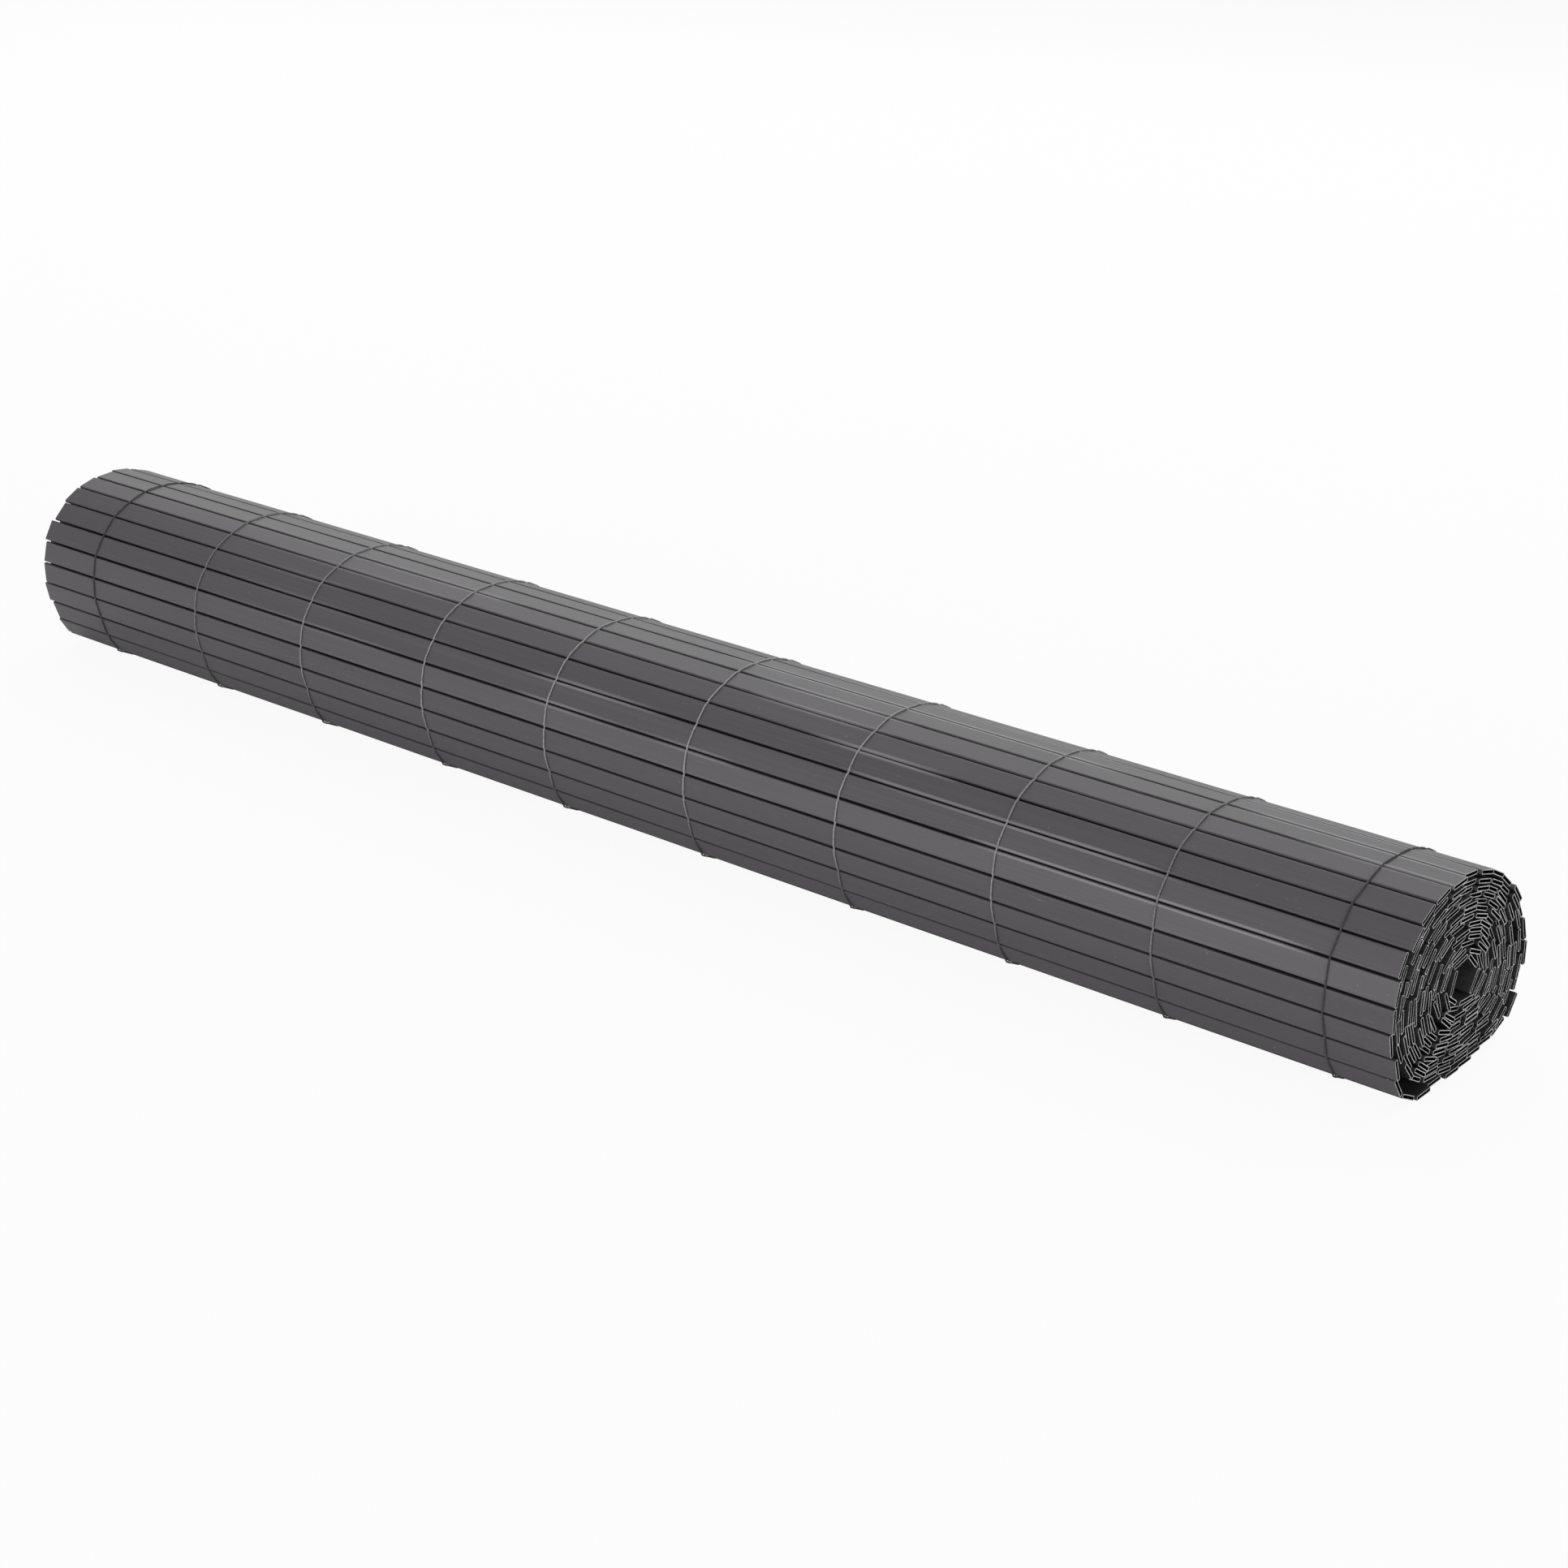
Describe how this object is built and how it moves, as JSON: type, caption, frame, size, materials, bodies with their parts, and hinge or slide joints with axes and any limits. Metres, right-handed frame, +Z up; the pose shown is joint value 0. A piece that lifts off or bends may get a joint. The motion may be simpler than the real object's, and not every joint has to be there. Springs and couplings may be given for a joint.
{
  "type": "pvc privacy screen roll",
  "caption": "Rolled-up pvc privacy screen mat: hollow flat slats laced side by side with thin cord rows, wound into a loose, slightly flattened roll lying on its side.",
  "frame": {"origin": "middle of the roll's length and width, on the plane that it rests on", "axes": "+X along the slats, towards the end that the picture shows; +Z up; -Y is the front, the side the picture shows"},
  "size_m": [1.0024, 0.135, 0.1099],
  "materials": {
    "pvc_slat": "satin",
    "lacing_cord": "matte"
  },
  "bodies": {
    "root": {"inner_slats_01": "pvc_slat", "inner_slats_02": "pvc_slat", "inner_slats_03": "pvc_slat", "inner_slats_04": "pvc_slat", "inner_slats_05": "pvc_slat", "inner_slats_06": "pvc_slat", "inner_slats_07": "pvc_slat", "inner_slats_08": "pvc_slat", "inner_slats_09": "pvc_slat", "inner_slats_10": "pvc_slat", "inner_slats_11": "pvc_slat", "inner_slats_12": "pvc_slat", "lacing_row_01": "lacing_cord", "lacing_row_02": "lacing_cord", "lacing_row_03": "lacing_cord", "lacing_row_04": "lacing_cord", "lacing_row_05": "lacing_cord", "lacing_row_06": "lacing_cord", "lacing_row_07": "lacing_cord", "lacing_row_08": "lacing_cord", "lacing_row_09": "lacing_cord", "lacing_row_10": "lacing_cord", "outer_slat_01": "pvc_slat", "outer_slat_02": "pvc_slat", "outer_slat_03": "pvc_slat", "outer_slat_04": "pvc_slat", "outer_slat_05": "pvc_slat", "outer_slat_06": "pvc_slat", "outer_slat_07": "pvc_slat", "outer_slat_08": "pvc_slat", "outer_slat_09": "pvc_slat", "outer_slat_10": "pvc_slat", "outer_slat_11": "pvc_slat", "outer_slat_12": "pvc_slat", "outer_slat_13": "pvc_slat", "outer_slat_14": "pvc_slat", "outer_slat_15": "pvc_slat", "outer_slat_16": "pvc_slat", "outer_slat_17": "pvc_slat", "outer_slat_18": "pvc_slat", "outer_slat_19": "pvc_slat", "outer_slat_20": "pvc_slat", "outer_slat_21": "pvc_slat", "outer_slat_22": "pvc_slat", "outer_slat_23": "pvc_slat", "outer_slat_24": "pvc_slat", "outer_slat_25": "pvc_slat", "outer_slat_26": "pvc_slat", "outer_slat_27": "pvc_slat", "outer_slat_28": "pvc_slat"}
  },
  "joints": []
}
